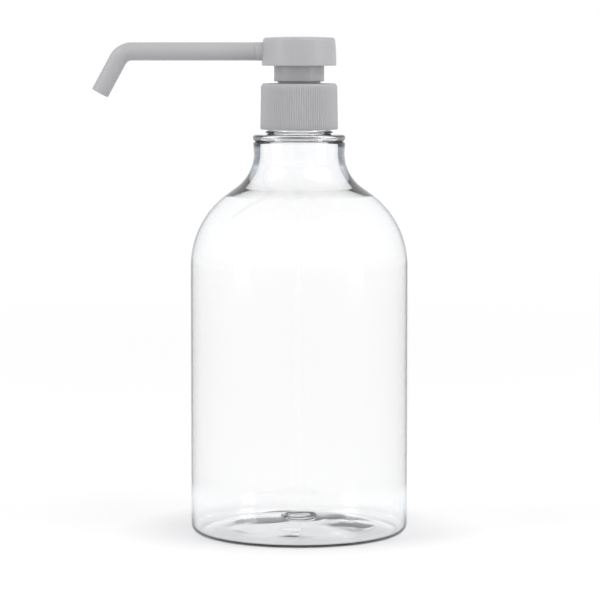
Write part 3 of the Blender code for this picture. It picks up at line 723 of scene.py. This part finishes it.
socket = add_cylinder("socket", (axis_x - boss_reach + boss_depth, 0.0, spout_height),
                      (axis_x - boss_reach - 0.001, 0.0, spout_height), boss_bore, 64)
boolean(head, socket, 'DIFFERENCE')
bpy.ops.object.shade_smooth_by_angle(angle=math.radians(30))
head.data.materials.append(grey_plastic)
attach(head, "plunger")
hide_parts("head")


# Spout
# A thick-walled grey plastic tube, bent down near its end and cut square. Its thinner root
# is pushed into the boss of the head.

spout_radius = 0.0032
spout_bore = 0.00175
spigot_radius = 0.00255
straight_end = 0.05896
bend_radius = 0.00568
bend_angle = math.radians(61.5)
tip_length = 0.0133
tip_edge = 0.0003
fine_edge = 0.00005
root_x = axis_x - boss_reach + boss_depth - 0.0003
shoulder_x = axis_x - boss_reach - 0.00004
bend_x = axis_x - straight_end
bend_centre = (bend_x, 0.0, spout_height - bend_radius)
down = Vector((-math.cos(bend_angle), 0.0, -math.sin(bend_angle)))
tip_start = Vector((bend_x - bend_radius * math.sin(bend_angle), 0.0,
                    spout_height - bend_radius * (1.0 - math.cos(bend_angle))))
tip_end = tip_start + down * tip_length

bpy.ops.object.select_all(action='DESELECT')
bpy.ops.mesh.primitive_circle_add(vertices=64, radius=spigot_radius, location=(root_x, 0.0, spout_height),
                                  rotation=(0.0, half, 0.0))
spout = bpy.context.object
spout.name = "spout_tube"
bpy.ops.object.transform_apply(location=True, rotation=True, scale=True)
bpy.ops.object.mode_set(mode='EDIT')


def draw_on(offset):
    """Draws the open end on by an offset."""
    bpy.ops.mesh.extrude_region_move(TRANSFORM_OT_translate={"value": tuple(offset)})


def widen(centre, factor):
    """Widens or narrows the open end about a centre."""
    bpy.ops.transform.resize(value=(factor, factor, factor), center_override=tuple(centre))


draw_on((shoulder_x - root_x, 0.0, 0.0))
draw_on((0.0, 0.0, 0.0))
widen((shoulder_x, 0.0, spout_height), (spout_radius - fine_edge) / spigot_radius)
draw_on((-fine_edge, 0.0, 0.0))
widen((shoulder_x - fine_edge, 0.0, spout_height), spout_radius / (spout_radius - fine_edge))
straight_steps = 12
for step in range(straight_steps):
    draw_on(((bend_x - shoulder_x + fine_edge) / straight_steps, 0.0, 0.0))
bpy.ops.mesh.spin(steps=24, angle=bend_angle, center=bend_centre, axis=(0.0, 1.0, 0.0))
for step in range(4):
    draw_on(down * (tip_length - tip_edge) / 4)
edge_steps = 4
reach = spout_radius
for step in range(1, edge_steps + 1):
    angle = half * step / edge_steps
    ahead = tip_edge * (math.sin(angle) - math.sin(angle - half / edge_steps))
    draw_on(down * ahead)
    now = spout_radius - tip_edge * (1.0 - math.cos(angle))
    widen(tip_end - down * tip_edge * (1.0 - math.sin(angle)), now / reach)
    reach = now
draw_on((0.0, 0.0, 0.0))
widen(tip_end, (spout_bore + 0.0001) / reach)
draw_on(down * -0.0001)
widen(tip_end - down * 0.0001, spout_bore / (spout_bore + 0.0001))
draw_on(down * (0.0001 - tip_length))
bpy.ops.mesh.spin(steps=24, angle=-bend_angle, center=bend_centre, axis=(0.0, 1.0, 0.0))
draw_on((root_x - bend_x, 0.0, 0.0))
draw_on((0.0, 0.0, 0.0))
widen((root_x, 0.0, spout_height), spigot_radius / spout_bore)
bpy.ops.mesh.select_all(action='SELECT')
bpy.ops.mesh.remove_doubles(threshold=0.000003)
bpy.ops.mesh.normals_make_consistent(inside=False)
bpy.ops.object.mode_set(mode='OBJECT')
bpy.ops.object.shade_smooth_by_angle(angle=math.radians(30))
spout.data.materials.append(grey_plastic)
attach(spout, "plunger")
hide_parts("spout")


# Dip tube
# A clear soft plastic tube, extruded and cut at a slant. Its top is pushed into the socket
# under the pump's barrel, and it reaches down to the base.

tube_low, tube_high = (Vector(corner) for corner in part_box("dip_tube"))
tube_radius = (tube_high.x - tube_low.x) / 2
tube_wall = 0.0005
slant = math.radians(30)
tube_outline = [(tube_radius - tube_wall, tube_low.z), (tube_radius, tube_low.z),
                (tube_radius, tube_high.z), (tube_radius - tube_wall, tube_high.z),
                (tube_radius - tube_wall, tube_low.z)]
tube = turn("dip_tube_wall", tube_outline, 48)
for point in tube.data.vertices:
    if point.co.z < (tube_low.z + tube_high.z) / 2:
        point.co.z += (point.co.x - axis_x + tube_radius) * math.tan(slant)
faint = bpy.data.materials.new("faint_clear_plastic")
film = Tree(faint)
film_body = film.node("ShaderNodeBsdfPrincipled", sockets={
    "Base Color": (0.95, 0.95, 0.96, 1.0),
    "Roughness": 0.25,
    "IOR": 1.2,
    "Alpha": 0.02,
})
film.node("ShaderNodeOutputMaterial", sockets={"Surface": film_body})
tube.data.materials.append(faint)
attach(tube, "pump_frame")
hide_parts("dip_tube")


# Pump works
# What closure, collar and head hide: white moulded parts, soft piston, foamed seal,
# steel balls and the spring. The solids' own shapes are kept.

white_plastic = satin_plastic("natural_moulded_plastic", (0.80, 0.81, 0.80), 0.40, 0.15)
soft_plastic = satin_plastic("soft_piston_plastic", (0.86, 0.86, 0.84), 0.50, 0.2)
seal_foam = satin_plastic("foamed_seal", (0.84, 0.84, 0.83), 0.75, 0.8)

steel = bpy.data.materials.new("drawn_steel")
steel_tree = Tree(steel)
steel_place = steel_tree.node("ShaderNodeTexCoord", output="Object")
steel_noise = steel_tree.node("ShaderNodeTexNoise",
                              sockets={"Vector": steel_place, "Scale": 3000.0, "Detail": 2.0})
steel_shader = steel_tree.node("ShaderNodeBsdfPrincipled", sockets={
    "Base Color": (0.62, 0.62, 0.64, 1.0),
    "Metallic": 1.0,
    "Roughness": steel_noise * 0.12 + 0.14,
})
steel_tree.node("ShaderNodeOutputMaterial", sockets={"Surface": steel_shader})

finish_of = {
    "housing": white_plastic,
    "stem": white_plastic,
    "piston_rod": white_plastic,
    "piston": soft_plastic,
    "gasket": seal_foam,
    "spring": steel,
    "suction_ball": steel,
    "outlet_ball": steel,
}
for node_name, finish in finish_of.items():
    solid = bpy.data.objects[node_name]
    solid.data.materials.clear()
    solid.data.materials.append(finish)
